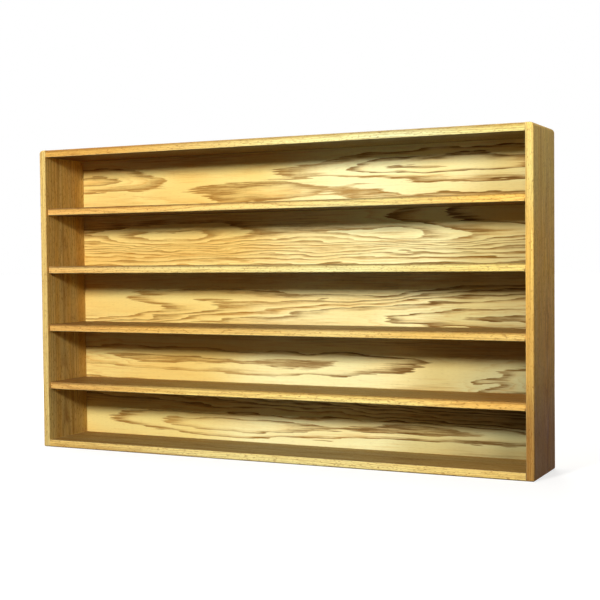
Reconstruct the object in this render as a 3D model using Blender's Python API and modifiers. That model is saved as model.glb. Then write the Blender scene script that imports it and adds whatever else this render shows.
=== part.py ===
"""CD cabinet: an open oak case with rows of fixed shelves, to stand on a surface or hang on a wall cleat.

The origin is the middle of the footprint. +X runs along the width, +Y from the front to the back, +Z up.
"""

from math import cos, pi, radians, sin

import bmesh
import bpy
from mathutils import Matrix, Vector

# Outer case, in metres
WIDTH = 1.321
DEPTH = 0.184
BAY_HEIGHT = 0.1334
BAY_COUNT = 5

# Board and panel thicknesses
SIDE_THICKNESS = 0.019
CASE_THICKNESS = 0.019
SHELF_THICKNESS = 0.019
PANEL_THICKNESS = 0.0064

# Clearance between faces that touch
FIT = 0.0003

# Rounded edges: the rim of the case's top and the upper front edges of the shelves are the roundest
TOP_ROUND = 0.009
CASE_ROUND = 0.004
INNER_EASE = 0.001
SHELF_ROUND = 0.009
SHELF_END_ROUND = 0.004
SHELF_EASE = 0.002
ROUND_STEPS = 4

# Shelves: the front stands back from the case, and a tongue at each end sits in a stopped housing
SHELF_SETBACK = 0.006
TONGUE_THICKNESS = 0.010
TONGUE_LENGTH = 0.007
HOUSING_STOP = 0.022

# Rabbet for the back panel: the lip is the wood left outside it, the margin is above and below the panel
RABBET_LIP = 0.0095
PANEL_MARGIN = 0.0015

# Hanging cleat, hooked over a wall cleat by its bevelled lower edge
CLEAT_THICKNESS = 0.0095
CLEAT_HEIGHT = 0.064
CLEAT_DROP = 0.0015
CLEAT_ROUND = 0.003

# Corner dowels: the wall is the wood left between a dowel's hole and the outside of the cabinet
DOWEL_RADIUS = 0.004
DOWEL_WALL = 0.007
DOWEL_IN_BOARD = 0.026
DOWEL_CHAMFER = 0.001
DOWEL_MARGIN = 0.030
DOWELS_PER_CORNER = 3

# Countersunk cleat screws
CLEAT_SCREW_RADIUS = 0.0021
CLEAT_SCREW_HEAD_RADIUS = 0.0042
CLEAT_SCREW_LENGTH = 0.038
CLEAT_SCREW_MARGIN = 0.060
CLEAT_SCREW_COUNT = 5

# Pan head screws that hold the back panel
PANEL_SCREW_RADIUS = 0.0017
PANEL_SCREW_HEAD_RADIUS = 0.0036
PANEL_SCREW_HEAD_HEIGHT = 0.0025
PANEL_SCREW_RIM = 0.0006
PANEL_SCREW_LENGTH = 0.020
PANEL_SCREW_MARGIN = 0.200
PANEL_SCREWS_PER_BOARD = 3

# Shape of every screw: its point, and the cross recess in its head
TIP_LENGTH = 0.003
DRIVE_WIDTH = 0.0009
DRIVE_DEPTH = 0.0012
DRIVE_RIM = 0.0014

# Facets of round pieces
ROUND_SIDES = 12
DOME_STEPS = 3
SHARP_ANGLE = radians(40)
MERGE_DISTANCE = 0.00001

# Cutters reach this far past the faces that they open
OVERCUT = 0.002

# Positions that follow from the sizes above
HEIGHT = BAY_COUNT * BAY_HEIGHT + (BAY_COUNT - 1) * SHELF_THICKNESS + 2 * CASE_THICKNESS
FRONT = -DEPTH / 2
REAR = DEPTH / 2
PANEL_REAR = REAR - CLEAT_THICKNESS - FIT
PANEL_FRONT = PANEL_REAR - PANEL_THICKNESS
BOARD_REAR = PANEL_FRONT - FIT
INNER_HALF = WIDTH / 2 - SIDE_THICKNESS
BOARD_HALF = INNER_HALF - FIT
RABBET_HALF = WIDTH / 2 - RABBET_LIP
PANEL_HALF = RABBET_HALF - FIT
ROW_PITCH = BAY_HEIGHT + SHELF_THICKNESS
TOP_MIDDLE = HEIGHT - CASE_THICKNESS / 2
BOTTOM_MIDDLE = CASE_THICKNESS / 2

# Colours as linear red, green and blue
OAK_COLOUR = (0.63, 0.37, 0.115)
PLY_COLOUR = (0.72, 0.47, 0.17)
DOWEL_COLOUR = (0.66, 0.44, 0.24)
STEEL_COLOUR = (0.62, 0.60, 0.55)


# Scene helpers


def clear_scene():
    for old in list(bpy.data.objects):
        bpy.data.objects.remove(old, do_unlink=True)


def make_collection(name):
    collection = bpy.data.collections.new(name)
    bpy.context.scene.collection.children.link(collection)
    return collection


def make_material(name, colour, roughness, metallic):
    material = bpy.data.materials.new(name)
    material.use_nodes = True
    shader = material.node_tree.nodes["Principled BSDF"]
    shader.inputs["Base Color"].default_value = (*colour, 1)
    shader.inputs["Roughness"].default_value = roughness
    shader.inputs["Metallic"].default_value = metallic
    material.diffuse_color = (*colour, 1)
    return material


def make_part(name, mesh, material, location, rotation=(0, 0, 0)):
    """A visible piece, placed under the cabinet's empty. Pieces that repeat share a mesh."""
    part = bpy.data.objects.new(name, mesh)
    PARTS.objects.link(part)
    part.parent = CABINET
    part.location = location
    part.rotation_euler = rotation
    if not mesh.materials:
        mesh.materials.append(material)
    return part


def make_helper(name, mesh):
    """A solid that only cuts or extends a piece."""
    helper = bpy.data.objects.new(name, mesh)
    CUTTERS.objects.link(helper)
    helper.hide_render = True
    helper.display_type = "WIRE"
    return helper


# Shapes


def span_box(corner, opposite):
    """Middle and size of the box between two opposite corners."""
    corner, opposite = Vector(corner), Vector(opposite)
    size = opposite - corner
    return (corner + opposite) / 2, Vector(abs(along) for along in size)


def mesh_from(bm, name):
    mesh = bpy.data.meshes.new(name)
    bm.to_mesh(mesh)
    bm.free()
    return mesh


def box_mesh(name, size, rounds):
    """A box about its own middle. rounds maps an edge, named by the signs of its middle, to a radius."""
    bm = bmesh.new()
    bmesh.ops.create_cube(bm, size=1)
    bmesh.ops.scale(bm, vec=size, verts=bm.verts)
    weight = bm.edges.layers.float.new("bevel_weight_edge")
    for edge in bm.edges:
        middle = (edge.verts[0].co + edge.verts[1].co) / 2
        signs = tuple(round(2 * along / whole) for along, whole in zip(middle, size))
        if signs in rounds:
            edge[weight] = rounds[signs] / max(rounds.values())
    return mesh_from(bm, name)


def boxes_mesh(name, spans):
    """Separate boxes in one mesh, each given by two opposite corners."""
    bm = bmesh.new()
    for corner, opposite in spans:
        middle, size = span_box(corner, opposite)
        place = Matrix.Translation(middle) @ Matrix.Diagonal((*size, 1))
        bmesh.ops.create_cube(bm, size=1, matrix=place)
    return mesh_from(bm, name)


def bores_mesh(name, bores):
    """Separate round bars or cones in one mesh, each given by a start, an end and the radius at both."""
    bm = bmesh.new()
    for start, end, start_radius, end_radius in bores:
        start, end = Vector(start), Vector(end)
        along = end - start
        turn = along.to_track_quat("Z", "Y").to_matrix().to_4x4()
        bmesh.ops.create_cone(
            bm,
            cap_ends=True,
            segments=ROUND_SIDES,
            radius1=start_radius,
            radius2=end_radius,
            depth=along.length,
            matrix=Matrix.Translation((start + end) / 2) @ turn,
        )
    return mesh_from(bm, name)


def combine(part, helper, operation):
    boolean = part.modifiers.new(helper.name, "BOOLEAN")
    boolean.operation = operation
    boolean.solver = "EXACT"
    boolean.object = helper


def cut_boxes(part, name, spans):
    combine(part, make_helper(name, boxes_mesh(name, spans)), "DIFFERENCE")


def cut_bores(part, name, bores):
    combine(part, make_helper(name, bores_mesh(name, bores)), "DIFFERENCE")


def make_board(name, corner, opposite, rounds):
    """An oak board between two corners, with the named edges rounded."""
    middle, size = span_box(corner, opposite)
    board = make_part(name, box_mesh(name, size, rounds), OAK, middle)
    bevel = board.modifiers.new("rounded_edges", "BEVEL")
    bevel.limit_method = "WEIGHT"
    bevel.width = max(rounds.values())
    bevel.segments = ROUND_STEPS
    return board


def turned_blank(name, profile):
    """A solid turned about Z from (radius, height) points, which run from the top down."""
    outline = bpy.data.meshes.new(name)
    points = [(radius, 0, height) for radius, height in profile]
    outline.from_pydata(points, [(step, step + 1) for step in range(len(points) - 1)], [])
    blank = make_helper(name, outline)
    turn = blank.modifiers.new("turn", "SCREW")
    turn.steps = ROUND_SIDES
    turn.render_steps = ROUND_SIDES
    turn.use_merge_vertices = True
    turn.merge_threshold = MERGE_DISTANCE
    return blank


def finished_mesh(blank, material):
    """The blank's evaluated mesh, shaded smooth. The blank and its cutters go."""
    graph = bpy.context.evaluated_depsgraph_get()
    mesh = bpy.data.meshes.new_from_object(blank.evaluated_get(graph))
    mesh.name = blank.name
    mesh.materials.clear()
    mesh.materials.append(material)
    mesh.shade_smooth()
    mesh.set_sharp_from_angle(angle=SHARP_ANGLE)
    cutters = [modifier.object for modifier in blank.modifiers if modifier.type == "BOOLEAN"]
    for helper in [blank, *cutters]:
        bpy.data.objects.remove(helper)
    return mesh


# Layout


def evenly(first, last, count):
    """Places from first to last, both included."""
    return [first + (last - first) * step / (count - 1) for step in range(count)]


def shelf_middles():
    """Heights of the shelves' middles, from the top down."""
    highest = HEIGHT - CASE_THICKNESS - BAY_HEIGHT - SHELF_THICKNESS / 2
    return [highest - ROW_PITCH * row for row in range(BAY_COUNT - 1)]


def bay_middles():
    """Heights of the bays' middles, from the top down."""
    highest = HEIGHT - CASE_THICKNESS - BAY_HEIGHT / 2
    return [highest - ROW_PITCH * row for row in range(BAY_COUNT)]


def dowel_depths():
    return evenly(FRONT + DOWEL_MARGIN, BOARD_REAR - DOWEL_MARGIN, DOWELS_PER_CORNER)


def cleat_screw_places():
    reach = INNER_HALF - CLEAT_SCREW_MARGIN
    return evenly(-reach, reach, CLEAT_SCREW_COUNT)


def board_screw_places(height):
    """Panel screws along a shelf or the bottom board, as positions across the width and heights."""
    reach = INNER_HALF - PANEL_SCREW_MARGIN
    return [(x, height) for x in evenly(-reach, reach, PANEL_SCREWS_PER_BOARD)]


def side_screw_places(way):
    """Panel screws in a side's rabbet, at the middles of the bays below the cleat."""
    x = way * (INNER_HALF + RABBET_HALF) / 2
    return [(x, height) for height in bay_middles()[1:]]


def panel_screw_places():
    places = []
    for height in [*shelf_middles(), BOTTOM_MIDDLE]:
        places += board_screw_places(height)
    return places + side_screw_places(-1) + side_screw_places(1)


# Holes that several pieces share


def cut_panel_pilots(part, places):
    """Holes from the panel's rear face to just past the screws' tips."""
    radius = PANEL_SCREW_RADIUS + FIT
    mouth = PANEL_REAR + OVERCUT
    end = PANEL_REAR + FIT - PANEL_SCREW_LENGTH - FIT
    bores = [((x, mouth, z), (x, end, z), radius, radius) for x, z in places]
    cut_bores(part, part.name + "_panel_pilots", bores)


def cut_cleat_pilots(part):
    """Holes from the cleat's rear face to just past the screws' tips."""
    radius = CLEAT_SCREW_RADIUS + FIT
    mouth = REAR + OVERCUT
    end = REAR - FIT - CLEAT_SCREW_LENGTH - FIT
    bores = [((x, mouth, TOP_MIDDLE), (x, end, TOP_MIDDLE), radius, radius) for x in cleat_screw_places()]
    cut_bores(part, part.name + "_cleat_pilots", bores)


def cut_dowel_holes(part, mouth, end, heights):
    """Blind holes across the width, from one position to another, at each dowel's depth."""
    radius = DOWEL_RADIUS + FIT
    places = [(depth, height) for height in heights for depth in dowel_depths()]
    name = f"{part.name}_dowel_holes_{len(part.modifiers)}"
    cut_bores(part, name, [((mouth, y, z), (end, y, z), radius, radius) for y, z in places])


# Boards and panel


def make_side(name, way):
    """A side board. way is -1 on the left and 1 on the right."""
    upright_edges = [(way, -1, 0), (way, 1, 0)]
    bottom_edges = [(way, 0, -1), (0, -1, -1), (0, 1, -1)]
    top_edges = [(way, 0, 1), (0, -1, 1), (0, 1, 1)]
    rounds = {edge: CASE_ROUND for edge in upright_edges + bottom_edges}
    rounds.update({edge: TOP_ROUND for edge in top_edges})
    rounds[(-way, -1, 0)] = INNER_EASE
    side = make_board(name, (way * INNER_HALF, FRONT, 0), (way * WIDTH / 2, REAR, HEIGHT), rounds)
    mouth = way * (INNER_HALF - OVERCUT)

    # Rabbet for the back panel and the cleat
    shoulder = (mouth, BOARD_REAR, -OVERCUT)
    cut_boxes(side, name + "_rabbet", [(shoulder, (way * RABBET_HALF, REAR + OVERCUT, HEIGHT + OVERCUT))])

    # Housings for the shelf tongues, stopped short of the front
    floor = way * (INNER_HALF + TONGUE_LENGTH)
    half = TONGUE_THICKNESS / 2 + FIT
    housings = [
        ((mouth, FRONT + HOUSING_STOP, middle - half), (floor, BOARD_REAR + OVERCUT, middle + half))
        for middle in shelf_middles()
    ]
    cut_boxes(side, name + "_housings", housings)

    cut_dowel_holes(side, mouth, way * (WIDTH / 2 - DOWEL_WALL), [BOTTOM_MIDDLE, TOP_MIDDLE])
    cut_panel_pilots(side, side_screw_places(way))


def make_end_board(name, middle, outward, outer_round):
    """The top board, where outward is 1, or the bottom board, where it is -1."""
    half = CASE_THICKNESS / 2
    rounds = {(0, -1, outward): outer_round, (0, -1, -outward): INNER_EASE}
    corner = (-BOARD_HALF, FRONT, middle - half)
    board = make_board(name, corner, (BOARD_HALF, BOARD_REAR, middle + half), rounds)
    for way in (-1, 1):
        mouth = way * (BOARD_HALF + OVERCUT)
        cut_dowel_holes(board, mouth, way * (INNER_HALF - DOWEL_IN_BOARD), [middle])
    return board


def make_shelf(name, middle):
    """A shelf with a rounded front and a tongue at each end."""
    half = SHELF_THICKNESS / 2
    rounds = {(0, -1, 1): SHELF_ROUND, (0, -1, -1): SHELF_EASE}
    rounds.update({(1, -1, 0): SHELF_END_ROUND, (-1, -1, 0): SHELF_END_ROUND})
    corner = (-BOARD_HALF, FRONT + SHELF_SETBACK, middle - half)
    shelf = make_board(name, corner, (BOARD_HALF, BOARD_REAR, middle + half), rounds)

    # One bar makes both tongues, because its middle is buried in the shelf
    reach = INNER_HALF + TONGUE_LENGTH - FIT
    thin = TONGUE_THICKNESS / 2
    bar = ((-reach, FRONT + HOUSING_STOP + FIT, middle - thin), (reach, BOARD_REAR - FIT, middle + thin))
    tongues = name + "_tongues"
    combine(shelf, make_helper(tongues, boxes_mesh(tongues, [bar])), "UNION")
    cut_panel_pilots(shelf, board_screw_places(middle))


def make_back_panel():
    corner = (-PANEL_HALF, PANEL_FRONT, PANEL_MARGIN)
    middle, size = span_box(corner, (PANEL_HALF, PANEL_REAR, HEIGHT - PANEL_MARGIN))
    panel = make_part("back_panel", box_mesh("back_panel", size, {}), PLY, middle)
    cut_panel_pilots(panel, panel_screw_places())
    cut_cleat_pilots(panel)


# Hanging cleat


def make_cleat():
    """A bar whose lower edge is bevelled at 45 degrees, so that it wedges behind a wall cleat."""
    top = HEIGHT - CLEAT_DROP
    corner = (-PANEL_HALF, REAR - CLEAT_THICKNESS, top - CLEAT_HEIGHT)
    cleat = make_board("hanging_cleat", corner, (PANEL_HALF, REAR, top), {(0, 1, 1): CLEAT_ROUND})
    for vertex in cleat.data.vertices:
        if vertex.co.y < 0 and vertex.co.z < 0:
            vertex.co.z += CLEAT_THICKNESS
    cut_cleat_pilots(cleat)

    # Countersinks at 45 degrees, run on past the rear face
    wide = CLEAT_SCREW_HEAD_RADIUS + FIT + OVERCUT
    floor = REAR - CLEAT_SCREW_HEAD_RADIUS
    sinks = [
        ((x, REAR + OVERCUT, TOP_MIDDLE), (x, floor, TOP_MIDDLE), wide, FIT)
        for x in cleat_screw_places()
    ]
    cut_bores(cleat, "cleat_countersinks", sinks)


# Dowels and screws


def make_dowels():
    """Chamfered dowels across the corner joints."""
    outer_end = WIDTH / 2 - DOWEL_WALL - FIT
    inner_end = INNER_HALF - DOWEL_IN_BOARD + FIT
    half = (outer_end - inner_end) / 2
    tip_radius = DOWEL_RADIUS - DOWEL_CHAMFER
    shoulder = half - DOWEL_CHAMFER
    profile = [
        (0, half),
        (tip_radius, half),
        (DOWEL_RADIUS, shoulder),
        (DOWEL_RADIUS, -shoulder),
        (tip_radius, -half),
        (0, -half),
    ]
    mesh = finished_mesh(turned_blank("dowel", profile), DOWEL_WOOD)
    middle = (outer_end + inner_end) / 2
    for level, height in (("bottom", BOTTOM_MIDDLE), ("top", TOP_MIDDLE)):
        for side, way in (("left", -1), ("right", 1)):
            for number, depth in enumerate(dowel_depths(), 1):
                name = f"dowel_{level}_{side}_{number}"
                make_part(name, mesh, DOWEL_WOOD, (way * middle, depth, height), (0, pi / 2, 0))


def screw_mesh(name, profile, head_top, head_radius):
    """A turned screw, head up, with a cross recess in its head."""
    blank = turned_blank(name, profile)
    reach = head_radius - DRIVE_RIM
    half = DRIVE_WIDTH / 2
    for arm, (x, y) in (("long", (reach, half)), ("cross", (half, reach))):
        slot = [((-x, -y, head_top - DRIVE_DEPTH), (x, y, head_top + OVERCUT))]
        cut_boxes(blank, f"{name}_{arm}_slot", slot)
    return finished_mesh(blank, STEEL)


def make_cleat_screws():
    """Flush screws. The head's top is at height 0 and the point is down."""
    head = CLEAT_SCREW_HEAD_RADIUS
    shank = CLEAT_SCREW_RADIUS
    profile = [
        (0, 0),
        (head, 0),
        (shank, shank - head),
        (shank, TIP_LENGTH - CLEAT_SCREW_LENGTH),
        (0, -CLEAT_SCREW_LENGTH),
    ]
    mesh = screw_mesh("cleat_screw", profile, 0, head)
    for number, x in enumerate(cleat_screw_places(), 1):
        make_part(f"cleat_screw_{number}", mesh, STEEL, (x, REAR - FIT, TOP_MIDDLE), (-pi / 2, 0, 0))


def make_panel_screws():
    """Pan head screws. The head's underside is at height 0 and the point is down."""
    head = PANEL_SCREW_HEAD_RADIUS
    shank = PANEL_SCREW_RADIUS
    dome = PANEL_SCREW_HEAD_HEIGHT - PANEL_SCREW_RIM
    quarter = evenly(0, pi / 2, DOME_STEPS + 1)
    profile = [(head * sin(angle), PANEL_SCREW_RIM + dome * cos(angle)) for angle in quarter]
    profile += [
        (head, 0),
        (shank, 0),
        (shank, TIP_LENGTH - PANEL_SCREW_LENGTH),
        (0, -PANEL_SCREW_LENGTH),
    ]
    mesh = screw_mesh("panel_screw", profile, PANEL_SCREW_HEAD_HEIGHT, head)
    for number, (x, height) in enumerate(panel_screw_places(), 1):
        make_part(f"panel_screw_{number}", mesh, STEEL, (x, PANEL_REAR + FIT, height), (-pi / 2, 0, 0))


clear_scene()
PARTS = make_collection("cd_cabinet")
CUTTERS = make_collection("cutters")
CABINET = bpy.data.objects.new("cabinet", None)
PARTS.objects.link(CABINET)
OAK = make_material("oak_board", OAK_COLOUR, roughness=0.42, metallic=0)
PLY = make_material("oak_ply", PLY_COLOUR, roughness=0.45, metallic=0)
DOWEL_WOOD = make_material("dowel_wood", DOWEL_COLOUR, roughness=0.6, metallic=0)
STEEL = make_material("screw_steel", STEEL_COLOUR, roughness=0.35, metallic=1)

make_side("left_side", -1)
make_side("right_side", 1)
cut_cleat_pilots(make_end_board("top_board", TOP_MIDDLE, 1, TOP_ROUND))
bottom_board = make_end_board("bottom_board", BOTTOM_MIDDLE, -1, CASE_ROUND)
cut_panel_pilots(bottom_board, board_screw_places(BOTTOM_MIDDLE))
for row, shelf_height in enumerate(shelf_middles(), 1):
    make_shelf(f"shelf_{row}", shelf_height)
make_back_panel()
make_cleat()
make_dowels()
make_cleat_screws()
make_panel_screws()
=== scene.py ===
from collections import namedtuple
from math import radians

import bpy
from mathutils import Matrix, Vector


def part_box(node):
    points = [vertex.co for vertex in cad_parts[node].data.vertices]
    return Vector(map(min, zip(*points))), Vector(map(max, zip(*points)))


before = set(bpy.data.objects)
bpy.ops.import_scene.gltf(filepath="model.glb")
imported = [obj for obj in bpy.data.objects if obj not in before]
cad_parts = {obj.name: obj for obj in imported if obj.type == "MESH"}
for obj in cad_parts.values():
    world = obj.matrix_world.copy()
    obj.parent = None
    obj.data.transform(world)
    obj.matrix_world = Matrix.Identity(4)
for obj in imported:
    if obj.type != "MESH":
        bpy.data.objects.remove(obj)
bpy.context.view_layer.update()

# A noise field: how often it changes in a metre along each axis, its detail, and how strong the detail is
Noise = namedtuple("Noise", "stretch detail roughness")

# A range of values, from low to high, that becomes the range from least to most
Range = namedtuple("Range", "low high least most", defaults=(0.0, 1.0))

# A bump: its depth in metres, and its strength
Bump = namedtuple("Bump", "distance strength")

AXES = "XYZ"
WHITE = (1.0, 1.0, 1.0, 1.0)


# Node helpers

# Sockets of a Mix node for colours
MIX_FACTOR = 0
MIX_FIRST = 6
MIX_SECOND = 7
MIX_RESULT = 2

# Noise runs from 0 to 1 around this
NOISE_MIDDLE = (0.5, 0.5, 0.5)


class Tree:
    """Adds nodes to a node tree. Each input takes a socket, which is linked, or a plain value."""

    def __init__(self, tree):
        self.tree = tree

    def feed(self, socket, value):
        if isinstance(value, bpy.types.NodeSocket):
            self.tree.links.new(value, socket)
        else:
            socket.default_value = value

    def node(self, kind, inputs=(), **settings):
        made = self.tree.nodes.new(kind)
        for key, value in settings.items():
            setattr(made, key, value)
        for key, value in dict(inputs).items():
            self.feed(made.inputs[key], value)
        return made

    def math(self, operation, *values, clamp=False):
        made = self.node("ShaderNodeMath", operation=operation, use_clamp=clamp)
        for socket, value in zip(made.inputs, values):
            self.feed(socket, value)
        return made.outputs[0]

    def add(self, first, second):
        return self.math("ADD", first, second)

    def subtract(self, first, second):
        return self.math("SUBTRACT", first, second)

    def multiply(self, first, *others):
        for other in others:
            first = self.math("MULTIPLY", first, other)
        return first

    def vector(self, operation, *values):
        made = self.node("ShaderNodeVectorMath", operation=operation)
        for socket, value in zip(made.inputs, values):
            self.feed(socket, value)
        return made.outputs["Value" if operation == "LENGTH" else "Vector"]

    def place(self):
        return self.node("ShaderNodeTexCoord").outputs["Object"]

    def normal(self):
        return self.node("ShaderNodeNewGeometry").outputs["Normal"]

    def split(self, vector):
        return list(self.node("ShaderNodeSeparateXYZ", {"Vector": vector}).outputs)

    def join(self, x, y, z):
        return self.node("ShaderNodeCombineXYZ", {"X": x, "Y": y, "Z": z}).outputs[0]

    def noise_node(self, vector, field):
        scaled = self.vector("MULTIPLY", vector, field.stretch)
        inputs = {"Vector": scaled, "Scale": 1.0, "Detail": field.detail, "Roughness": field.roughness}
        return self.node("ShaderNodeTexNoise", inputs)

    def noise(self, vector, field):
        return self.noise_node(vector, field).outputs[0]

    def sway(self, vector, field, reach):
        """A vector that changes by noise, up to half the reach to either side."""
        change = self.noise_node(vector, field).outputs["Color"]
        return self.vector("MULTIPLY", self.vector("SUBTRACT", change, NOISE_MIDDLE), reach)

    def remap(self, value, span, smooth=False):
        inputs = {
            "Value": value,
            "From Min": span.low,
            "From Max": span.high,
            "To Min": span.least,
            "To Max": span.most,
        }
        kind = "SMOOTHSTEP" if smooth else "LINEAR"
        return self.node("ShaderNodeMapRange", inputs, interpolation_type=kind).outputs[0]

    def ramp(self, factor, stops, kind="LINEAR"):
        made = self.node("ShaderNodeValToRGB", {"Fac": factor})
        made.color_ramp.interpolation = kind
        elements = made.color_ramp.elements
        while len(elements) < len(stops):
            elements.new(1.0)
        for element, (place, colour) in zip(elements, stops):
            element.position = place
            element.color = colour
        return made.outputs[0]

    def levels(self, factor, stops):
        """A ramp of greys."""
        return self.ramp(factor, [(place, (level, level, level, 1.0)) for place, level in stops])

    def blend(self, factor, first, second, how="MIX"):
        made = self.node("ShaderNodeMix", data_type="RGBA", blend_type=how)
        for index, value in ((MIX_FACTOR, factor), (MIX_FIRST, first), (MIX_SECOND, second)):
            self.feed(made.inputs[index], value)
        return made.outputs[MIX_RESULT]

    def tint(self, colour, tone):
        return self.blend(1.0, colour, tone, "MULTIPLY")

    def bump(self, height, bump):
        inputs = {"Height": height, "Distance": bump.distance, "Strength": bump.strength}
        return self.node("ShaderNodeBump", inputs).outputs[0]


def new_material(name):
    """A new material, its tree and its shader."""
    material = bpy.data.materials.new(name)
    material.use_nodes = True
    tree = Tree(material.node_tree)
    shader = material.node_tree.nodes["Principled BSDF"]
    return material, tree, shader


def give_surface(t, shader, colour, roughness, height, bump):
    """Links what changes over a surface to its shader."""
    t.feed(shader.inputs["Base Color"], colour)
    t.feed(shader.inputs["Roughness"], roughness)
    t.feed(shader.inputs["Normal"], t.bump(height, bump))


def dress(node, material):
    """Gives a CAD node a new material in its slot."""
    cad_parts[node].material_slots[0].material = material


def nodes_named(start):
    return [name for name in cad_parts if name.startswith(start)]


# Solid oak

# Colours, as linear red, green and blue
OAK_PALE = (0.95, 0.80, 0.32, 1.0)
OAK_HONEY = (0.87, 0.59, 0.167, 1.0)
OAK_BROWN = (0.41, 0.195, 0.046, 1.0)
OAK_PORE = (0.27, 0.12, 0.035, 1.0)
OAK_WORN = (0.94, 0.80, 0.37, 1.0)
OAK_FLECK = (0.94, 0.73, 0.34, 1.0)

# Satin lacquer on boards and veneer
OAK_SHINE = 0.035

# Bends of the log, slow and quick, and how far they reach, in metres. The grain is the first axis
SLOW_BEND = Noise((1.1, 3.0, 3.0), 2.0, 0.5)
SLOW_REACH = (0.0, 0.055, 0.055)
QUICK_BEND = Noise((4.5, 22.0, 22.0), 2.0, 0.55)
QUICK_REACH = (0.0, 0.0045, 0.0045)

# Growth rings: their width in metres, how it changes, and their frayed edges, both in rings
RING_WIDTH = 0.0036
RING_SWELL = Noise((55.0, 1.0, 1.0), 1.0, 0.5)
SWELL_RINGS = 2.4
RING_FEATHER = Noise((30.0, 420.0, 420.0), 2.0, 0.6)
FEATHER_RINGS = 0.5

# Each ring starts with porous dark wood, which fades into dense pale wood. Some rings are fainter
POROUS_WOOD = ((0.0, 0.15), (0.05, 1.0), (0.16, 0.75), (0.42, 0.18), (0.9, 0.0), (1.0, 0.15))
RING_DEPTH = Noise((0.73, 0.8, 1.0), 1.0, 0.5)
RING_DEPTH_RANGE = Range(0.3, 0.7, 0.35, 1.0)
POROUS_STRENGTH = 0.62

# Streaks of colour along the grain
BROAD_STREAKS = Noise((1.3, 34.0, 34.0), 3.0, 0.55)
BROAD_RANGE = Range(0.32, 0.68)
BROWN_STREAKS = Noise((0.9, 62.0, 62.0), 2.0, 0.5)
BROWN_RANGE = Range(0.55, 0.72, 0.0, 0.5)

# Pores: short dark dashes, most of them in the porous wood
PORES = Noise((75.0, 1500.0, 1500.0), 1.0, 0.4)
PORE_RANGE = Range(0.57, 0.68)
PORES_IN_RING = Range(0.0, 0.6, 0.22, 1.0)
PORE_STRENGTH = 0.62

# Coarser dashes and short specks, which still show from across a room
DASHES = Noise((26.0, 430.0, 430.0), 2.0, 0.55)
DASH_RANGE = Range(0.54, 0.70, 0.0, 0.42)
SPECKS = Noise((115.0, 450.0, 450.0), 1.0, 0.5)
SPECK_RANGE = Range(0.60, 0.70, 0.0, 0.7)

# Rays: pale flecks that lie across the rings
RAYS = Noise((55.0, 130.0, 900.0), 1.0, 0.4)
RAY_RANGE = Range(0.66, 0.74, 0.0, 0.30)

# Lacquer: its roughness, which is higher in pores, the height of its ripples, and how deep pores and porous
# wood lie in it, as shares of the bump
OAK_SATIN = Noise((14.0, 60.0, 60.0), 3.0, 0.6)
OAK_ROUGHNESS = Range(0.3, 0.7, 0.44, 0.58)
PORE_ROUGHNESS = 0.16
SATIN_HEIGHT = 0.25
PORE_DEPTH = 0.9
POROUS_DEPTH = 0.35
OAK_BUMP = Bump(0.00035, 0.55)

# The broad faces of a board are darker than its edges, partly as stain and, on the shelves and the top board,
# partly as painted shade that deepens the bays. The undersides are darker still, as painted shade
SHELF_STAIN_AND_SHADE = (0.41, 0.35, 0.30)
TOP_STAIN_AND_SHADE = (0.60, 0.52, 0.44)
SIDE_FACE = (0.93, 0.815, 0.64)
UNDER_PAINTED_SHADE = (0.58, 0.56, 0.54, 1.0)
FACE_RANGE = Range(0.10, 0.60)
UNDER_SHADE_RANGE = Range(-0.35, -0.9)

# End grain is darker
END_SHARPNESS = 3.0
END_STRENGTH = 0.55

# Wear along the edges, by the distance from the edge in metres, in patches
WEAR_PATCHES = Noise((60.0, 60.0, 60.0), 3.0, 0.6)
WEAR_PATCH_DEPTH = 0.004
WEAR_RANGE = Range(0.0052, 0.0022)
WEAR_STRENGTH = 0.2

# Tones, which multiply the red, green and blue of the wood
CREAM = (0.94, 1.0, 1.0)
GOLD = (0.90, 0.78, 0.62)
AMBER = (0.92, 0.74, 0.52)
RUSSET = (0.84, 0.66, 0.54)
STRAW = (0.97, 1.02, 1.12)
PALE = (0.93, 1.13, 1.45)
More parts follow.
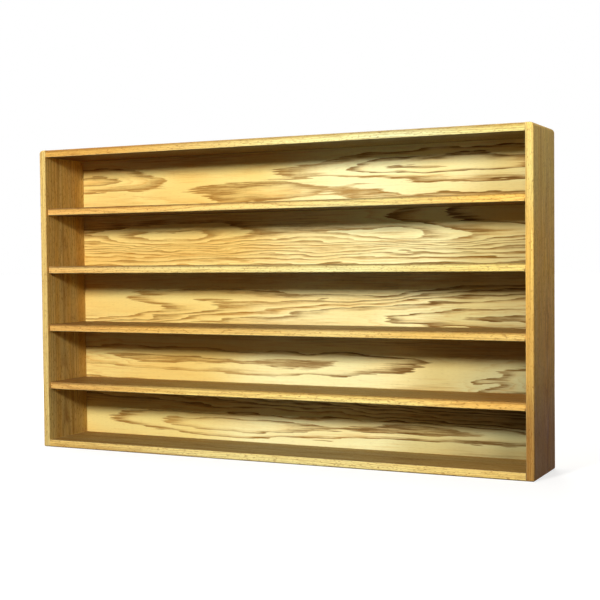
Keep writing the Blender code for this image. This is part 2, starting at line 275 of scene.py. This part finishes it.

# Boards: grain axis, where the board's middle lies in the log, in metres from its heart and along it, tone of
# the broad faces, partly stain and partly painted shade, and tones of the whole board at shares of its length
Board = namedtuple("Board", "axis from_heart along_log face tones")
BOARDS = {
    "top_board": Board("X", (0.052, -0.034), 1.3, TOP_STAIN_AND_SHADE, (
        (0.10, (0.79, 0.59, 0.38)),
        (0.60, (0.89, 1.00, 1.12)),
        (0.78, (0.82, 1.03, 1.46)),
        (1.0, (0.90, 1.05, 1.12)),
    )),
    "bottom_board": Board("X", (0.020, 0.061), 2.9, SHELF_STAIN_AND_SHADE, (
        (0.0, (0.94, 0.85, 0.72)),
        (0.5, (0.99, 1.10, 1.26)),
        (1.0, (1.05, 0.99, 0.87)),
    )),
    "shelf_1": Board("X", (-0.035, 0.047), 4.1, SHELF_STAIN_AND_SHADE, (
        (0.0, (0.90, 0.72, 0.62)),
        (0.42, (0.92, 0.84, 0.76)),
        (0.72, PALE),
        (0.95, (1.05, 0.89, 0.64)),
    )),
    "shelf_2": Board("X", (0.061, 0.032), 5.7, SHELF_STAIN_AND_SHADE, (
        (0.0, (0.92, 0.76, 0.68)),
        (0.4, (0.90, 0.95, 1.0)),
        (0.7, PALE),
        (0.95, (1.0, 1.1, 1.08)),
    )),
    "shelf_3": Board("X", (0.015, -0.058), 7.2, SHELF_STAIN_AND_SHADE, (
        (0.05, RUSSET),
        (0.3, GOLD),
        (0.6, STRAW),
        (0.9, (0.92, 0.83, 0.70)),
    )),
    "shelf_4": Board("X", (-0.049, -0.041), 8.8, SHELF_STAIN_AND_SHADE, (
        (0.05, RUSSET),
        (0.35, (1.05, 1.0, 0.84)),
        (0.7, (1.02, 1.02, 0.92)),
        (0.95, (1.0, 0.77, 0.53)),
    )),
    "left_side": Board("Z", (0.030, 0.085), 10.4, SIDE_FACE, (
        (0.0, (0.82, 0.84, 0.92)),
        (1.0, (0.90, 0.87, 0.84)),
    )),
    "right_side": Board("Z", (-0.028, -0.095), 12.1, SIDE_FACE, (
        (0.12, (0.53, 0.36, 0.24)),
        (0.36, (1.02, 0.86, 0.60)),
        (0.6, (1.1, 1.0, 0.74)),
        (0.9, CREAM),
    )),
    "hanging_cleat": Board("X", (0.044, -0.025), 13.6, TOP_STAIN_AND_SHADE, (
        (0.0, GOLD),
        (1.0, AMBER),
    )),
}


def make_oak_group():
    """Oak as a node group: from a place in the log, along the grain first, to its colour and surface."""
    group = bpy.data.node_groups.new("oak_grain", "ShaderNodeTree")
    sockets = group.interface
    sockets.new_socket("Place", in_out="INPUT", socket_type="NodeSocketVector")
    sockets.new_socket("Color", in_out="OUTPUT", socket_type="NodeSocketColor")
    sockets.new_socket("Roughness", in_out="OUTPUT", socket_type="NodeSocketFloat")
    sockets.new_socket("Height", in_out="OUTPUT", socket_type="NodeSocketFloat")
    t = Tree(group)
    place = t.node("NodeGroupInput").outputs[0]

    # Bends, and the distance from the heart of the log
    bent = t.vector("ADD", place, t.sway(place, SLOW_BEND, SLOW_REACH))
    bent = t.vector("ADD", bent, t.sway(place, QUICK_BEND, QUICK_REACH))
    along, across, through = t.split(bent)
    radius = t.vector("LENGTH", t.join(0.0, across, through))

    # Rings, and how porous the wood is in each
    swell = t.noise(t.join(radius, 0.0, 0.0), RING_SWELL)
    rings = t.add(t.math("DIVIDE", radius, RING_WIDTH), t.multiply(swell, SWELL_RINGS))
    rings = t.add(rings, t.multiply(t.noise(place, RING_FEATHER), FEATHER_RINGS))
    porous = t.levels(t.math("FRACT", rings), POROUS_WOOD)
    depth = t.noise(t.join(t.math("FLOOR", rings), along, 0.0), RING_DEPTH)
    porous = t.multiply(porous, t.remap(depth, RING_DEPTH_RANGE))

    # Colours of streaks, rings, pores, dashes, specks and rays
    ground = t.blend(t.remap(t.noise(place, BROAD_STREAKS), BROAD_RANGE), OAK_PALE, OAK_HONEY)
    ground = t.blend(t.remap(t.noise(place, BROWN_STREAKS), BROWN_RANGE), ground, OAK_BROWN)
    colour = t.blend(t.multiply(porous, POROUS_STRENGTH), ground, OAK_BROWN)
    pore = t.remap(t.noise(place, PORES), PORE_RANGE)
    pore = t.multiply(pore, t.remap(porous, PORES_IN_RING))
    colour = t.blend(t.multiply(pore, PORE_STRENGTH), colour, OAK_PORE)
    colour = t.blend(t.remap(t.noise(place, DASHES), DASH_RANGE), colour, OAK_BROWN)
    colour = t.blend(t.remap(t.noise(place, SPECKS), SPECK_RANGE), colour, OAK_BROWN)
    colour = t.blend(t.remap(t.noise(place, RAYS), RAY_RANGE), colour, OAK_FLECK)

    # Lacquer
    satin = t.noise(place, OAK_SATIN)
    roughness = t.add(t.remap(satin, OAK_ROUGHNESS), t.multiply(pore, PORE_ROUGHNESS))
    height = t.subtract(t.multiply(satin, SATIN_HEIGHT), t.multiply(pore, PORE_DEPTH))
    height = t.subtract(height, t.multiply(porous, POROUS_DEPTH))
    t.node("NodeGroupOutput", {"Color": colour, "Roughness": roughness, "Height": height})
    return group


def edge_reach(t, place, low, high):
    """Distance to the nearest edge of a board, in metres: the middle one of those to its faces."""
    middle = (low + high) / 2
    half = (high - low) / 2
    away = t.vector("ABSOLUTE", t.vector("SUBTRACT", place, tuple(middle)))
    x, y, z = t.split(t.vector("SUBTRACT", tuple(half), away))
    nearer = t.math("MINIMUM", x, y)
    farther = t.math("MAXIMUM", x, y)
    return t.math("MAXIMUM", nearer, t.math("MINIMUM", farther, z))


def make_oak_board(name, group):
    """A board of its own from the log, with its tones, darker end grain, worn edges, and painted shade on its
    broad faces and undersides.
    """
    board = BOARDS[name]
    low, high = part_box(name)
    middle = (low + high) / 2
    material, t, shader = new_material("oak_" + name)
    place = t.place()

    # Wood from the board's place in the log
    x, y, z = t.split(t.vector("SUBTRACT", place, tuple(middle)))
    if board.axis == "X":
        along, across = x, z
        across_index = AXES.index("Z")
    else:
        along, across = z, x
        across_index = AXES.index("X")
    along_index = AXES.index(board.axis)
    in_log = t.vector("ADD", t.join(along, y, across), (board.along_log, *board.from_heart))
    wood = t.node("ShaderNodeGroup", node_tree=group)
    t.feed(wood.inputs[0], in_log)
    colour = wood.outputs["Color"]

    # Tones along its length
    half_length = (high - low)[along_index] / 2
    share = t.remap(along, Range(-half_length, half_length))
    tones = [(stop, (*tone, 1.0)) for stop, tone in board.tones]
    colour = t.tint(colour, t.ramp(share, tones, "EASE"))

    # Broad faces, darker by stain and painted shade, undersides, darker by painted shade, and end grain
    normal = t.normal()
    facing = t.split(t.vector("ABSOLUTE", normal))
    broad = t.remap(facing[across_index], FACE_RANGE, smooth=True)
    colour = t.tint(colour, t.blend(broad, WHITE, (*board.face, 1.0)))
    # Painted shade: the undersides are made darker
    upward = t.split(normal)[AXES.index("Z")]
    under_shade = t.remap(upward, UNDER_SHADE_RANGE, smooth=True)
    colour = t.tint(colour, t.blend(under_shade, WHITE, UNDER_PAINTED_SHADE))
    ends = t.math("POWER", facing[along_index], END_SHARPNESS)
    colour = t.blend(t.multiply(ends, END_STRENGTH), colour, OAK_BROWN)

    # Worn edges
    patches = t.multiply(t.noise(place, WEAR_PATCHES), WEAR_PATCH_DEPTH)
    worn = t.remap(t.add(edge_reach(t, place, low, high), patches), WEAR_RANGE)
    colour = t.blend(t.multiply(worn, WEAR_STRENGTH), colour, OAK_WORN)

    give_surface(t, shader, colour, wood.outputs["Roughness"], wood.outputs["Height"], OAK_BUMP)
    shader.inputs["Specular IOR Level"].default_value = OAK_SHINE
    dress(name, material)


# Back panel, of plywood with rotary-cut oak veneer

# Colours of the veneer and the core
PLY_CREAM = (0.95, 0.90, 0.49, 1.0)
PLY_GOLD = (0.92, 0.71, 0.275, 1.0)
PLY_AMBER = (0.76, 0.45, 0.115, 1.0)
PLY_TAN = (0.71, 0.38, 0.086, 1.0)
PLY_LINE = (0.16, 0.077, 0.019, 1.0)
PLY_CORE = (0.62, 0.44, 0.25, 1.0)

# Tones of the front, from the left to the right and, by a smaller weight, from the top to the bottom: a
# golden tone at the left, and painted shade that darkens the right end and the bottom
PLY_LEFT = (0.92, 0.78, 0.52, 1.0)
PLY_RIGHT_SHADE = (0.76, 0.70, 0.57, 1.0)
PLY_CORNER_SHADE = (0.61, 0.60, 0.56, 1.0)
PLY_FAR_CORNER_SHADE = (0.42, 0.42, 0.39, 1.0)
PLY_TONE_AND_SHADE = (
    (0.37, PLY_LEFT),
    (0.54, WHITE),
    (0.73, WHITE),
    (0.82, PLY_RIGHT_SHADE),
    (0.91, PLY_CORNER_SHADE),
    (0.97, PLY_FAR_CORNER_SHADE),
)
TONE_AND_SHADE_ACROSS = 0.87
PAINTED_SHADE_DOWN = 0.165

# Figure of the front: hills, whose contour lines are the growth rings. Each has the place of its top, half
# its length and half its height, in metres, and the rings that it adds. A hollow takes rings away
Hill = namedtuple("Hill", "x z length height rings")
FIGURE_BASE = 0.35
HILLS = (
    # Top row
    Hill(-0.05, 0.661, 0.30, 0.033, 1.12),
    Hill(0.225, 0.645, 0.07, 0.018, 0.55),
    Hill(0.14, 0.683, 0.20, 0.013, -0.60),
    Hill(0.45, 0.712, 0.39, 0.034, 2.4),
    Hill(0.30, 0.708, 0.10, 0.012, 0.66),
    Hill(0.48, 0.612, 0.18, 0.049, 1.52),
    Hill(0.42, 0.657, 0.30, 0.014, -0.55),
    Hill(-0.66, 0.705, 0.26, 0.030, 2.1),
    # Second row
    Hill(0.29, 0.541, 0.185, 0.020, -2.2),
    Hill(0.62, 0.585, 0.20, 0.030, 1.6),
    Hill(-0.38, 0.545, 0.26, 0.026, -2.6),
    # Third row
    Hill(0.36, 0.343, 0.17, 0.020, 1.2),
    Hill(0.66, 0.345, 0.22, 0.024, 1.8),
    Hill(-0.22, 0.385, 0.30, 0.026, 1.7),
    # Fourth row
    Hill(0.50, 0.197, 0.045, 0.008, 0.75),
    Hill(0.66, 0.205, 0.11, 0.030, 1.9),
    Hill(0.57, 0.170, 0.06, 0.012, 0.7),
    Hill(-0.04, 0.222, 0.34, 0.030, 1.7),
    Hill(0.17, 0.240, 0.15, 0.016, 0.7),
    Hill(-0.48, 0.235, 0.24, 0.030, 1.6),
    # Bottom row
    Hill(0.40, 0.075, 0.32, 0.026, 1.8),
    Hill(-0.20, 0.060, 0.34, 0.028, 2.4),
)

# Slopes between the hills, where the rings crowd into fine lines: upper and lower height at the middle of the
# width, rise to the right, the rings that it adds, and how much its lines fade
Slope = namedtuple("Slope", "top bottom rise rings fade")
SLOPES = (
    Slope(0.570, 0.465, 0.0, 8.0, 0.28),
    Slope(0.399, 0.339, 0.08, 4.0, 0.0),
    Slope(0.170, 0.090, -0.04, 5.0, 0.0),
)

# The rear veneer, on the face that looks back, is plainer and comes from another part of the sheet. It has
# rings from its hills, and rings in each metre of height
FACES_BACK = 0.5
REAR_OFFSET = 3.7
REAR_HILLS = Noise((0.8, 1.0, 6.5), 2.0, 0.5)
REAR_HILL_RINGS = 6.0
REAR_RINGS = 36.0

# Noise that bends the figure, in metres, and frays its lines, in rings
PLY_SWELLS = Noise((2.2, 1.0, 15.0), 2.0, 0.5)
PLY_SWELL_REACH = Range(0.0, 1.0, -0.15, 0.15)
PLY_RIPPLES = Noise((6.0, 1.0, 40.0), 2.0, 0.5)
PLY_RIPPLE_REACH = Range(0.0, 1.0, -0.017, 0.017)
PLY_FEATHER = Noise((7.0, 1.0, 260.0), 3.0, 0.6)
PLY_FEATHER_REACH = Range(0.0, 1.0, -0.24, 0.24)

# Each band starts with a dark line and fades from amber into the ground, in fibrous streaks
BAND_SOFT = ((0.0, 0.25), (0.04, 1.0), (0.2, 0.7), (0.42, 0.22), (0.7, 0.0))
BAND_LINE = ((0.0, 0.1), (0.03, 1.0), (0.16, 0.92), (0.26, 0.45), (0.42, 0.0))
CROWDED_BAND = Range(0.0, 1.0, 1.0, 0.55)
PLY_STREAKS = Noise((9.0, 1.0, 240.0), 3.0, 0.6)
FIBROUS_RANGE = Range(0.38, 0.58, 0.35, 1.15)
SOFT_STRENGTH = 0.66
LINE_STRENGTH = 0.92

# Some lines fade out along the sheet, so many times in a metre, and those at the left and rear are fainter
LINE_CHANGE = 1.6
LINE_DEPTH = Noise((0.61, 1.0, 1.0), 1.0, 0.5)
LINE_DEPTH_RANGE = Range(0.30, 0.52, 0.4, 1.0)
LINE_ACROSS = Range(-0.20, 0.30, 0.66, 1.0)
LINE_REAR = Range(0.0, 1.0, 1.0, 0.5)

# Finer lines between them, in some zones
FINE_PER_RING = 3.0
FINE_LINE = ((0.0, 0.3), (0.08, 1.0), (0.3, 0.4), (0.7, 0.0))
FINE_ZONES = Noise((1.1, 1.0, 7.5), 1.0, 0.5)
FINE_RANGE = Range(0.44, 0.56)
FINE_STRENGTH = 0.45

# Some bands are filled with tan streaks, which change so many times in a metre
FILL_SEED = 7.3
FILL_CHANGE = 1.2
FILL = Noise((0.83, 1.0, 1.0), 1.0, 0.5)
FILL_RANGE = Range(0.54, 0.64)
FILL_STREAKS = Range(0.36, 0.56, 0.3, 0.95)

# The ground, with amber streaks and pores
PLY_TINT = Noise((2.0, 1.0, 9.0), 2.0, 0.5)
PLY_TINT_RANGE = Range(0.42, 0.72)
AMBER_STREAKS = Range(0.55, 0.75, 0.0, 0.3)
PLY_PORES = Noise((70.0, 1.0, 1500.0), 1.0, 0.4)
PLY_PORE_RANGE = Range(0.58, 0.68)
PORES_IN_LINE = Range(0.0, 0.5, 0.3, 1.0)
PLY_PORE_STRENGTH = 0.5

# Plies at the panel's edges, at shares of its thickness
PLIES = ((0.0, PLY_GOLD), (0.10, PLY_CORE), (0.36, PLY_TAN), (0.64, PLY_CORE), (0.90, PLY_GOLD))
PLY_FIBRE = Noise((420.0, 1500.0, 420.0), 2.0, 0.6)
PLY_FIBRE_RANGE = Range(0.4, 0.7, 0.0, 0.5)
FLAT_SHARPNESS = 4.0

# Lacquer, as on the boards, and how deep pores and lines lie in it
PLY_SATIN = Noise((9.0, 1.0, 60.0), 3.0, 0.6)
PLY_ROUGHNESS = Range(0.3, 0.7, 0.46, 0.60)
PLY_PORE_ROUGHNESS = 0.15
PLY_PORE_DEPTH = 0.8
LINE_GROOVE = 0.3
PLY_BUMP = Bump(0.0003, 0.5)


def lay_figure(t, x, z):
    """Rings at each place on the front, the sum of hills and slopes, and where they crowd and fade."""
    rings = FIGURE_BASE
    for hill in HILLS:
        off_x = t.math("DIVIDE", t.subtract(x, hill.x), hill.length)
        off_z = t.math("DIVIDE", t.subtract(z, hill.z), hill.height)
        away = t.add(t.multiply(off_x, off_x), t.multiply(off_z, off_z))
        mound = t.math("EXPONENT", t.multiply(away, -1.0))
        rings = t.add(rings, t.multiply(mound, hill.rings))
    crowd = 0.0
    fade = 0.0
    for slope in SLOPES:
        level = t.subtract(z, t.multiply(x, slope.rise))
        added = t.remap(level, Range(slope.top, slope.bottom, 0.0, slope.rings), smooth=True)
        rings = t.add(rings, added)

        # An arch over the slope: 0 at its ends and 1 at its middle
        share = t.remap(level, Range(slope.top, slope.bottom))
        arch = t.multiply(share, t.subtract(1.0, share), 4.0)
        crowd = t.add(crowd, arch)
        fade = t.add(fade, t.multiply(arch, slope.fade))
    return rings, crowd, fade


def make_ply_panel():
    """Veneer with bands like contour lines that run along the width, and the plies at the edges."""
    low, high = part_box("back_panel")
    material, t, shader = new_material("oak_ply_back")
    place = t.place()
    x, y, z = t.split(place)
    facing = t.split(t.normal())[AXES.index("Y")]
    rear = t.math("GREATER_THAN", facing, FACES_BACK)
    sheet = t.join(x, t.multiply(rear, REAR_OFFSET), z)

    # Rings, the bands between them, and the number of each band
    bent_x = t.add(x, t.remap(t.noise(sheet, PLY_SWELLS), PLY_SWELL_REACH))
    bent_z = t.add(z, t.remap(t.noise(sheet, PLY_RIPPLES), PLY_RIPPLE_REACH))
    laid, crowd, fade = lay_figure(t, bent_x, bent_z)
    hills = t.multiply(t.noise(sheet, REAR_HILLS), REAR_HILL_RINGS)
    plain = t.add(hills, t.multiply(bent_z, REAR_RINGS))
    rings = t.add(t.multiply(laid, t.subtract(1.0, rear)), t.multiply(plain, rear))
    rings = t.add(rings, t.remap(t.noise(sheet, PLY_FEATHER), PLY_FEATHER_REACH))
    band = t.multiply(t.math("FRACT", rings), t.remap(crowd, CROWDED_BAND))
    number = t.math("FLOOR", rings)

    # Lines, and what fills the bands
    streak = t.noise(sheet, PLY_STREAKS)
    fibrous = t.remap(streak, FIBROUS_RANGE)
    soft = t.math("MULTIPLY", t.levels(band, BAND_SOFT), fibrous, clamp=True)
    line = t.math("MULTIPLY", t.levels(band, BAND_LINE), fibrous, clamp=True)
    depth = t.noise(t.join(number, t.multiply(x, LINE_CHANGE), 0.0), LINE_DEPTH)
    line = t.multiply(line, t.remap(depth, LINE_DEPTH_RANGE), t.remap(x, LINE_ACROSS))
    line = t.multiply(line, t.remap(rear, LINE_REAR), t.subtract(1.0, fade))
    fine = t.levels(t.math("FRACT", t.multiply(rings, FINE_PER_RING)), FINE_LINE)
    fine = t.multiply(fine, t.remap(t.noise(sheet, FINE_ZONES), FINE_RANGE))
    fill = t.noise(t.join(number, FILL_SEED, t.multiply(x, FILL_CHANGE)), FILL)
    filled = t.multiply(t.remap(fill, FILL_RANGE), soft)

    # Colours of the ground, the bands, the lines and the pores
    ground = t.blend(t.remap(t.noise(sheet, PLY_TINT), PLY_TINT_RANGE), PLY_CREAM, PLY_GOLD)
    ground = t.blend(t.multiply(filled, t.remap(streak, FILL_STREAKS)), ground, PLY_TAN)
    ground = t.blend(t.remap(streak, AMBER_STREAKS), ground, PLY_AMBER)
    colour = t.blend(t.multiply(soft, SOFT_STRENGTH), ground, PLY_AMBER)
    colour = t.blend(t.multiply(fine, FINE_STRENGTH), colour, PLY_TAN)
    colour = t.blend(t.multiply(line, LINE_STRENGTH), colour, PLY_LINE)
    pore = t.remap(t.noise(sheet, PLY_PORES), PLY_PORE_RANGE)
    pore = t.multiply(pore, t.remap(line, PORES_IN_LINE))
    colour = t.blend(t.multiply(pore, PLY_PORE_STRENGTH), colour, OAK_PORE)

    # Tones and painted shade over the front, with the golden left tone all over the rear
    across = t.remap(x, Range(low.x, high.x, 0.0, TONE_AND_SHADE_ACROSS))
    shade_down = t.remap(z, Range(high.z, low.z, 0.0, PAINTED_SHADE_DOWN))
    tone = t.ramp(t.add(across, shade_down), PLY_TONE_AND_SHADE, "EASE")
    colour = t.tint(colour, t.blend(rear, tone, PLY_LEFT))

    # Plies at the edges, by depth from the front
    plies = t.ramp(t.remap(y, Range(low.y, high.y)), PLIES, "CONSTANT")
    plies = t.blend(t.remap(t.noise(place, PLY_FIBRE), PLY_FIBRE_RANGE), plies, OAK_BROWN)
    flat = t.math("POWER", t.math("ABSOLUTE", facing), FLAT_SHARPNESS)
    colour = t.blend(flat, plies, colour)

    # Lacquer
    satin = t.noise(sheet, PLY_SATIN)
    roughness = t.add(t.remap(satin, PLY_ROUGHNESS), t.multiply(pore, PLY_PORE_ROUGHNESS))
    height = t.subtract(t.multiply(satin, SATIN_HEIGHT), t.multiply(pore, PLY_PORE_DEPTH))
    height = t.subtract(height, t.multiply(line, LINE_GROOVE))
    give_surface(t, shader, colour, roughness, height, PLY_BUMP)
    shader.inputs["Specular IOR Level"].default_value = OAK_SHINE
    dress("back_panel", material)


# Dowels and screws

# Beech of the dowels
BEECH_LINES = Noise((20.0, 900.0, 900.0), 3.0, 0.6)
BEECH_COLOURS = ((0.3, (0.74, 0.52, 0.31, 1.0)), (0.7, (0.60, 0.38, 0.20, 1.0)))
BEECH_ROUGHNESS = Range(0.3, 0.7, 0.5, 0.7)
BEECH_BUMP = Bump(0.0002, 0.5)
BEECH_FLECKS = Noise((240.0, 2200.0, 2200.0), 1.0, 0.4)
BEECH_FLECK_RANGE = Range(0.6, 0.72, 0.0, 0.6)
BEECH_FLECK_COLOUR = (0.36, 0.20, 0.10, 1.0)

# Zinc on the screws
ZINC_CLOUDS = Noise((420.0, 420.0, 420.0), 3.0, 0.6)
ZINC_COLOURS = (
    (0.3, (0.70, 0.69, 0.66, 1.0)),
    (0.55, (0.60, 0.58, 0.52, 1.0)),
    (0.75, (0.46, 0.43, 0.36, 1.0)),
)
ZINC_ROUGHNESS = Range(0.3, 0.75, 0.26, 0.48)
ZINC_SCRATCHES = Noise((300.0, 2600.0, 5200.0), 2.0, 0.5)
ZINC_BUMP = Bump(0.00006, 0.5)


def make_dowel_wood():
    """Plain beech with fine lines and flecks, along the dowels."""
    material, t, shader = new_material("beech_dowel")
    place = t.place()
    lines = t.noise(place, BEECH_LINES)
    flecks = t.remap(t.noise(place, BEECH_FLECKS), BEECH_FLECK_RANGE)
    colour = t.blend(flecks, t.ramp(lines, BEECH_COLOURS), BEECH_FLECK_COLOUR)
    give_surface(t, shader, colour, t.remap(lines, BEECH_ROUGHNESS), lines, BEECH_BUMP)
    for name in nodes_named("dowel_"):
        dress(name, material)


def make_screw_steel():
    """Zinc plate: a pale metal with cloudy tarnish and small scratches."""
    material, t, shader = new_material("zinc_screw")
    place = t.place()
    cloud = t.noise(place, ZINC_CLOUDS)
    scratches = t.noise(place, ZINC_SCRATCHES)
    give_surface(t, shader, t.ramp(cloud, ZINC_COLOURS), t.remap(cloud, ZINC_ROUGHNESS), scratches, ZINC_BUMP)
    shader.inputs["Metallic"].default_value = 1.0
    for name in nodes_named("cleat_screw_") + nodes_named("panel_screw_"):
        dress(name, material)


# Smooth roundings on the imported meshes

# Corners within this distance are one, in metres, and steeper edges stay sharp. Large faces weigh most
MERGE_DISTANCE = 0.00001
SHARP_ANGLE = radians(35)
LARGE_FACE_WEIGHT = 100


def make_shading_group():
    """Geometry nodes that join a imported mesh's split corners and shade it smooth between sharp edges."""
    group = bpy.data.node_groups.new("smooth_roundings", "GeometryNodeTree")
    group.interface.new_socket("Geometry", in_out="INPUT", socket_type="NodeSocketGeometry")
    group.interface.new_socket("Geometry", in_out="OUTPUT", socket_type="NodeSocketGeometry")
    t = Tree(group)
    shape = t.node("NodeGroupInput").outputs[0]
    inputs = {"Geometry": shape, "Distance": MERGE_DISTANCE}
    shape = t.node("GeometryNodeMergeByDistance", inputs).outputs[0]
    inputs = {"Geometry": shape, "Name": "custom_normal"}
    shape = t.node("GeometryNodeRemoveAttribute", inputs).outputs[0]
    shape = t.node("GeometryNodeSetShadeSmooth", {"Geometry": shape}, domain="FACE").outputs[0]
    angle = t.node("GeometryNodeInputMeshEdgeAngle").outputs["Unsigned Angle"]
    inputs = {"A": angle, "B": SHARP_ANGLE}
    gentle = t.node("FunctionNodeCompare", inputs, operation="LESS_THAN").outputs[0]
    inputs = {"Geometry": shape, "Shade Smooth": gentle}
    shape = t.node("GeometryNodeSetShadeSmooth", inputs, domain="EDGE").outputs[0]
    t.node("NodeGroupOutput", {"Geometry": shape})
    return group


def smooth_roundings():
    group = make_shading_group()
    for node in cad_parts.values():
        node.modifiers.new("smooth_roundings", "NODES").node_group = group
        weighted = node.modifiers.new("flat_faces_stay_flat", "WEIGHTED_NORMAL")
        weighted.mode = "FACE_AREA"
        weighted.weight = LARGE_FACE_WEIGHT
        weighted.keep_sharp = True


# Camera, light and floor

# Camera, fitted to the outline of the case in the photo, in metres and degrees, with its lens in millimetres
CAMERA_PLACE = (1.3458, -2.6559, 0.4902)
CAMERA_TURN = (88.041, 0.55, 25.927)
CAMERA_LENS = 72.393
SENSOR_WIDTH = 36.0

# Lamps: place, what it looks at, size across, power in watts, colour, widest angle of the beam in degrees,
# and whether reflections show it
Lamp = namedtuple("Lamp", "place target size power colour beam mirrored")
LAMP_WHITE = (1.0, 0.985, 0.95)
LAMPS = {
    "key": Lamp((-0.12, -2.72, 1.41), (0.0, 0.0, 0.42), 0.5, 100.0, LAMP_WHITE, 180, False),
    "right_fill": Lamp((1.3, -0.5, 1.4), (0.66, 0.0, 0.72), 0.6, 1.35, (1.0, 0.92, 0.76), 80, True),
    "left_fill": Lamp((-2.2, 0.35, 1.5), (-0.6, 0.0, 0.4), 1.4, 19.0, (1.0, 0.97, 0.92), 180, True),
    "back_fill": Lamp((-0.5, 2.5, 1.15), (0.0, 0.1, 0.4), 1.3, 40.0, LAMP_WHITE, 180, True),
    "overhead": Lamp((0.0, 0.35, 2.7), (0.0, 0.1, 0.8), 1.5, 21.0, LAMP_WHITE, 180, True),
}

# Weak light from all round
WORLD_STRENGTH = 0.03
WORLD_COLOUR = (0.90, 0.97, 1.0, 1.0)

# Floor: it glows where it is seen, so that it stays pale out to the horizon, and throws back little light
FLOOR_SIZE = 60.0
FLOOR_COLOUR = (0.35, 0.35, 0.35, 1.0)
FLOOR_BOUNCE = (0.06, 0.06, 0.06, 1.0)
FLOOR_GLOW = Range(0.75, 1.7, 0.72, 1.0)
FLOOR_ROUGHNESS = 0.9
FLOOR_SHINE = 0.1


def make_camera():
    data = bpy.data.cameras.new("camera")
    data.lens = CAMERA_LENS
    data.sensor_width = SENSOR_WIDTH
    camera = bpy.data.objects.new("camera", data)
    camera.location = CAMERA_PLACE
    camera.rotation_euler = [radians(angle) for angle in CAMERA_TURN]
    bpy.context.scene.collection.objects.link(camera)
    bpy.context.scene.camera = camera


def make_lamps():
    for name, lamp in LAMPS.items():
        data = bpy.data.lights.new(name, "AREA")
        data.shape = "DISK"
        data.size = lamp.size
        data.energy = lamp.power
        data.color = lamp.colour
        data.spread = radians(lamp.beam)
        made = bpy.data.objects.new(name, data)
        made.location = lamp.place
        aim = Vector(lamp.target) - Vector(lamp.place)
        made.rotation_euler = aim.to_track_quat("-Z", "Y").to_euler()
        made.visible_camera = False
        made.visible_glossy = lamp.mirrored
        bpy.context.scene.collection.objects.link(made)


def seen_directly(t):
    """1 for what is seen, straight, in a reflection or through glass, and 0 for the light that it throws."""
    path = t.node("ShaderNodeLightPath").outputs
    seen = t.add(path["Is Camera Ray"], path["Is Glossy Ray"])
    return t.math("ADD", seen, path["Is Transmission Ray"], clamp=True)


def make_world():
    """White to the camera and in reflections, and a weak fill for everything else."""
    world = bpy.data.worlds.new("studio")
    world.use_nodes = True
    t = Tree(world.node_tree)
    world.node_tree.nodes.clear()
    seen = seen_directly(t)
    fill = t.node("ShaderNodeBackground", {"Color": WORLD_COLOUR, "Strength": WORLD_STRENGTH}).outputs[0]
    white = t.node("ShaderNodeBackground", {"Color": WHITE, "Strength": 1.0}).outputs[0]
    mixed = t.node("ShaderNodeMixShader", {0: seen, 1: fill, 2: white}).outputs[0]
    t.node("ShaderNodeOutputWorld", {"Surface": mixed})
    bpy.context.scene.world = world


def make_floor():
    mesh = bpy.data.meshes.new("floor")
    half = FLOOR_SIZE / 2
    corners = [(-half, -half, 0.0), (half, -half, 0.0), (half, half, 0.0), (-half, half, 0.0)]
    mesh.from_pydata(corners, [], [(0, 1, 2, 3)])
    material, t, shader = new_material("pale_floor")
    away = t.vector("LENGTH", t.place())
    glow = t.remap(away, FLOOR_GLOW, smooth=True)
    seen = seen_directly(t)
    t.feed(shader.inputs["Base Color"], t.blend(seen, FLOOR_BOUNCE, FLOOR_COLOUR))
    shader.inputs["Roughness"].default_value = FLOOR_ROUGHNESS
    shader.inputs["Specular IOR Level"].default_value = FLOOR_SHINE
    shader.inputs["Emission Color"].default_value = WHITE
    t.feed(shader.inputs["Emission Strength"], t.multiply(glow, seen))
    mesh.materials.append(material)
    floor = bpy.data.objects.new("floor", mesh)
    bpy.context.scene.collection.objects.link(floor)


def build_scene():
    bpy.context.scene.view_settings.view_transform = "Standard"
    group = make_oak_group()
    for name in BOARDS:
        make_oak_board(name, group)
    make_ply_panel()
    make_dowel_wood()
    make_screw_steel()
    smooth_roundings()
    make_camera()
    make_lamps()
    make_world()
    make_floor()


build_scene()
